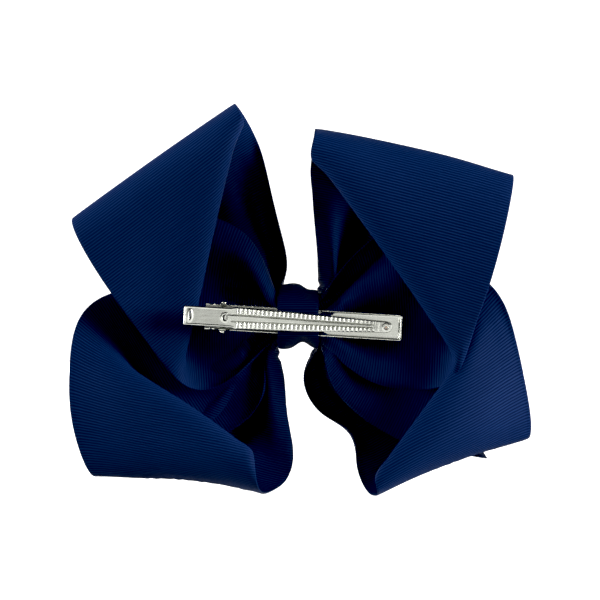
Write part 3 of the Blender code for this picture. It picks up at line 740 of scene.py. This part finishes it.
lever_xs = np.concatenate([[LEVER_BACK, -14.05, -13.95], np.arange(-13.8, 62.0, 0.2),
                           np.arange(62.0, 62.86, 0.12), [LEVER_NOSE]])
tops = np.concatenate([np.linspace(-1, -0.86, 5), np.linspace(-0.82, 0.82, 41), np.linspace(0.86, 1, 5)])
outer, inner = [], []
for x in lever_xs:
    hw = float(at(LEVER_HALF, x))
    y = float(np.interp(x, line[:, 0], line[:, 1]))
    drop = max(float(at(CHEEK, x)), 0.6)
    r = min(0.45, hw * 0.4)
    nose = (smooth_step(x, 62.0, LEVER_NOSE) * 0.25
            + (1 - smooth_step(x, LEVER_BACK, -13.8)) * 0.15)
    row_o, row_i = [], []
    for side in (-1, 1):
        legs_o, legs_i = [], []
        for f in (1.0, 0.66, 0.33):
            legs_o.append((x, y + r + (drop - r) * f, side * hw))
            legs_i.append((x, y + r + (drop - r) * f, side * max(hw - SHEET, 0.02)))
        for a in (0.0, 30, 60):
            c, s = math.cos(math.radians(a)), math.sin(math.radians(a))
            legs_o.append((x, y + r - r * s, side * (hw - r + r * c)))
            legs_i.append((x, y + r + 0.25 - 0.25 * s, side * max(hw - SHEET - 0.1 * s, 0.02)))
        if side < 0:
            row_o += legs_o
            row_i += legs_i
            for g in tops:
                v = g * (hw - r)
                row_o.append((x, y + nose - lever_relief(x, v, hw) * (1 if hw > 0.9 else 0.0), v))
                row_i.append((x, y + SHEET + nose * 0.3, g * max(hw - SHEET - 0.1, 0.02)))
        else:
            row_o += legs_o[::-1]
            row_i += legs_i[::-1]
    outer.append(row_o)
    inner.append(row_i)
verts, faces = shell(np.array(outer), np.array(inner))
lever = new_object("lever_arm_sheet", clip_to_row(verts), faces, nickel)


def cut_hole(obj, outline_xz):
    """Cut straight through the lever's face with a prism of the given outline."""
    pts = np.array(outline_xz, float)
    m = len(pts)
    v = [(p[0], -12.0, p[1]) for p in pts] + [(p[0], 0.5, p[1]) for p in pts]
    f = [tuple(range(m)), tuple(range(2 * m - 1, m - 1, -1))]
    f += [(i, m + i, m + (i + 1) % m, (i + 1) % m) for i in range(m)]
    cutter = new_object("hole_cutter", clip_to_row(v), f, nickel, smooth=False)
    face_outward(cutter.data)
    mod = obj.modifiers.new("hole", "BOOLEAN")
    mod.operation, mod.solver, mod.object = "DIFFERENCE", "EXACT", cutter
    apply_modifiers(obj)
    bpy.data.objects.remove(cutter, do_unlink=True)


ang = np.linspace(0, 2 * math.pi, 28, endpoint=False)
cut_hole(lever, [(SLOT_X + 0.26 * math.cos(a),
                  (1.45 + 0.26 * abs(math.sin(a))) * (1 if math.sin(a) > 0 else -1)) for a in ang])
left = [(WINDOW_X + 1.12 * math.cos(a), 1.12 * math.sin(a)) for a in np.radians(np.linspace(75, 285, 20))]
right = [(1.55 + 0.98 * math.cos(a), 0.98 * math.sin(a)) for a in np.radians(np.linspace(245, 115, 12))]
cut_hole(lever, left + right)
for p in lever.data.polygons:
    p.use_smooth = True
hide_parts("clip_lever_arm")
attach(lever, "lever")

# coppery spot in the nose ring
rings = []
nose_y = float(np.interp(RING_X, line[:, 0], line[:, 1]))
for q, h in ((0.0, 0.13), (0.16, 0.12), (0.3, 0.07), (0.38, -0.05)):
    rings.append([(60.55 + q * math.cos(a), nose_y + 0.20 - h, q * math.sin(a)) for a in ang])
rings.append([(60.55, nose_y + 0.35, 0.0)] * len(ang))
faces = tube_faces(len(rings), len(ang))
spot = new_object("nose_spot_weld", clip_to_row(np.array(rings).reshape(-1, 3)), faces, copper)
face_outward(spot.data, weld=1e-6)
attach(spot, "lever")

# base arm: rounded channel with scalloped walls, hinge ears and a turned-up end
BASE_LEFT, BASE_RIGHT, BASE_HALF, FLOOR = -6.7, 66.4, 4.8, 5.0
WALL = FLOOR - 3.2


def wall_top(x):
    y = WALL
    if x < -3.0:
        y = FLOOR - 1.4 - (1.8 * smooth_step(x, -5.5, -3.0))
    ear = (1 - smooth_step(abs(x), 1.0, 3.2))
    y = y * (1 - ear) + (-1.7) * ear
    if TOOTH_START < x < BASE_RIGHT - 2.0:
        k = ((x - TOOTH_START) % TOOTH_PITCH) / TOOTH_PITCH
        y += TOOTH_H * (1 - smooth_step(abs(k - 0.15), 0.10, 0.17))
    return float(y)


base_xs = np.concatenate([[BASE_LEFT, BASE_LEFT + 0.08], np.arange(BASE_LEFT + 0.25, BASE_RIGHT - 1.1, 0.16),
                          BASE_RIGHT - np.array([1.0, 0.8, 0.62, 0.45, 0.3, 0.18, 0.09, 0.03, 0.0])])
outer, inner = [], []
for x in base_xs:
    top = wall_top(x)
    d = BASE_RIGHT - x
    end = math.sqrt(max(0.0, 1 - (1.0 - min(d, 1.0)) ** 2))
    hw = BASE_HALF - 0.55 * (1 - end)
    fl = FLOOR - 0.35 * (1 - end)
    r = 0.55
    fill = smooth_step(x, BASE_RIGHT - 1.15, BASE_RIGHT - 0.62)
    inner_y = (FLOOR - SHEET) * (1 - fill) + (WALL + 0.12 + 0.35 * (1 - end)) * fill
    row_o, row_i = [], []
    lip = top + 0.30 * (1 - end)
    for side in (-1, 1):
        lo, li = [], []
        for f in np.linspace(0, 1, 7):
            yy = lip + 0.12 * (f == 0) + (fl - r - lip) * f
            lo.append((x, yy, side * (hw - 0.12 * (f == 0))))
        for a in (22, 45, 67, 90):
            c, s = math.cos(math.radians(a)), math.sin(math.radians(a))
            lo.append((x, fl - r + r * s, side * (hw - r + r * c)))
        for f in np.linspace(0, 1, 7):
            yy = lip + 0.12 * (f == 0) + (max(inner_y - 0.3, lip + 0.01) - lip) * f
            li.append((x, yy, side * (hw - SHEET + 0.12 * (f == 0))))
        for a in (22, 45, 67, 90):
            c, s = math.cos(math.radians(a)), math.sin(math.radians(a))
            li.append((x, max(inner_y - 0.3 + 0.3 * s, lip + 0.012), side * (hw - SHEET - 0.3 + 0.3 * c)))
        if side < 0:
            row_o += lo
            row_i += li
            for g in np.linspace(-0.9, 0.9, 12):
                row_o.append((x, fl, g * (hw - r)))
                row_i.append((x, max(inner_y, lip + 0.014), g * (hw - SHEET - 0.3)))
        else:
            row_o += lo[::-1]
            row_i += li[::-1]
    outer.append(row_o)
    inner.append(row_i)
verts, faces = shell(np.array(outer), np.array(inner))
base = new_object("base_arm_sheet", clip_to_row(verts), faces, nickel)
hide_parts("clip_base_arm")
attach(base, "bow")

# hinge pin with domed, shouldered heads
profile = [(0.0, -5.9), (0.45, -5.88), (0.8, -5.78), (0.98, -5.6), (1.0, -5.3), (1.0, -5.0), (0.70, -4.93),
           (0.70, 4.93), (1.0, 5.0), (1.0, 5.3), (0.98, 5.6), (0.8, 5.78), (0.45, 5.88), (0.0, 5.9)]
ang = np.linspace(0, 2 * math.pi, 40, endpoint=False)
m = len(ang)
rings = [[(max(r, 1e-4) * math.cos(a), max(r, 1e-4) * math.sin(a), z) for a in ang] for r, z in profile]
faces = tube_faces(len(rings), m)
faces += [tuple(range(m)), tuple(range((len(rings) - 1) * m, len(rings) * m))[::-1]]
pin = new_object("hinge_pin_turned", clip_to_row(np.array(rings).reshape(-1, 3)), faces, nickel)
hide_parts("hinge_pin")
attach(pin, "bow")


# torsion spring, hidden under the thumb plate
def wire(name, path, radius, sides, mat):
    path = spline(np.asarray(path, float), 3)
    tan_ = np.gradient(path, axis=0)
    tan_ /= np.linalg.norm(tan_, axis=1, keepdims=True)
    normal = np.cross(tan_[0], (0.13, 0.97, 0.21))
    rows_ = []
    for p, t_ in zip(path, tan_):
        normal = normal - t_ * np.dot(normal, t_)
        normal /= np.linalg.norm(normal)
        side = np.cross(t_, normal)
        rows_.append([p + radius * (math.cos(a) * normal + math.sin(a) * side)
                      for a in np.linspace(0, 2 * math.pi, sides, endpoint=False)])
    k = len(rows_)
    f = tube_faces(k, sides)
    f += [tuple(range(sides))[::-1], tuple(range((k - 1) * sides, k * sides))]
    return new_object(name, clip_to_row(np.array(rows_).reshape(-1, 3)), f, mat)


path = [(-6.2, 3.95, -1.7), (-4.0, 3.2, -1.7)]
for t in np.linspace(0, 1, 55):
    a = math.pi / 2 + 0.12 - 2 * math.pi * 4.5 * t
    path.append((1.75 * math.cos(a), 1.75 * math.sin(a), -1.6 + 3.2 * t))
path += [(-3.4, -1.6, 1.7), (-6.0, -1.6, 1.7)]
coil = wire("jaw_spring_wire", path, 0.28, 12, steel)
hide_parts("jaw_spring")
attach(coil, "bow")

# ------------------------------------------------------------------ stage, light, camera
floor_z = cad_lo.z - 0.0012
pale, nt, bsdf = node_tree("pale_backdrop")
bsdf.inputs["Base Color"].default_value = (0.93, 0.93, 0.93, 1)
bsdf.inputs["Roughness"].default_value = 0.9
bsdf.inputs["Emission Color"].default_value = (1, 1, 1, 1)
bsdf.inputs["Emission Strength"].default_value = 1.0
sweep = [(-2.2, floor_z), (1.6, floor_z)]
for a in np.linspace(0, math.pi / 2, 14):
    sweep.append((1.6 + 0.5 * math.sin(a), floor_z + 0.5 * (1 - math.cos(a))))
sweep.append((2.1, 2.4))
mesh = bpy.data.meshes.new("pale_sweep")
mesh.from_pydata([(x, y, z) for y, z in sweep for x in (-2.4, 2.4)], [],
                 [(2 * i, 2 * i + 1, 2 * i + 3, 2 * i + 2) for i in range(len(sweep) - 1)])
mesh.materials.append(pale)
for p in mesh.polygons:
    p.use_smooth = True
backdrop = bpy.data.objects.new("pale_sweep", mesh)
# it glows: matt surfaces don't receive that light, but reflections in the metal still show it
backdrop.visible_diffuse = False
bpy.context.scene.collection.objects.link(backdrop)
backdrop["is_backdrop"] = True


def area_light(name, location, size, power):
    """Square panel aimed at the bow and unseen by the camera."""
    data = bpy.data.lights.new(name, "AREA")
    data.shape = "RECTANGLE"
    data.size = data.size_y = size
    data.energy = power
    light = bpy.data.objects.new(name, data)
    bpy.context.scene.collection.objects.link(light)
    light.location = location
    light.visible_camera = False
    light.rotation_euler = (Vector((0, 0, 0)) - Vector(location)).to_track_quat("-Z", "Y").to_euler()


# two strong square panels rake the bow almost in its own plane, so the loops' insides stay dark;
# the rear panel lights only the side away from the camera. Metres, metres square, watts
for name, location, size, power in (("right_side_panel", (1.69, -0.15, 0.02), 0.8, 42.0),
                                    ("left_side_panel", (-1.69, -0.15, 0.02), 0.8, 54.0),
                                    ("right_key", (1.49, -0.69, 0.44), 0.8, 16.0),
                                    ("left_key", (-1.09, -0.51, 1.20), 0.8, 6.0),
                                    ("rear_panel", (-0.25, 1.65, 0.20), 0.7, 12.0),
                                    ("front_panel", (0.0, -1.7, 0.1), 0.8, 2.0)):
    area_light(name, location, size, power)

# white surround for the camera, kept out of matt and glossy rays
world = bpy.data.worlds.new("studio")
bpy.context.scene.world = world
world.use_nodes = True
world.node_tree.nodes["Background"].inputs[0].default_value = (1, 1, 1, 1)
world.node_tree.nodes["Background"].inputs[1].default_value = 1.0
world.cycles_visibility.diffuse = False
world.cycles_visibility.glossy = False

LENS, SENSOR = 146.0, 36.0                 # mm
BLACK_LEVEL = 0.0085
cam_data = bpy.data.cameras.new("camera")
cam_data.lens = LENS
cam_data.sensor_width = SENSOR
camera = bpy.data.objects.new("camera", cam_data)
scene = bpy.context.scene
scene.collection.objects.link(camera)
camera.location = (0.00074, -0.9, 0.00814)
camera.rotation_euler = (math.radians(90), 0, 0)
scene.camera = camera
scene.view_settings.view_transform = "Standard"
scene.view_settings.look = "None"
# finish: everything below the black level prints as black, which also darkens the recesses
scene.view_settings.use_curve_mapping = True
scene.view_settings.curve_mapping.black_level = (BLACK_LEVEL,) * 3
scene.view_settings.curve_mapping.update()

lo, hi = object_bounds()
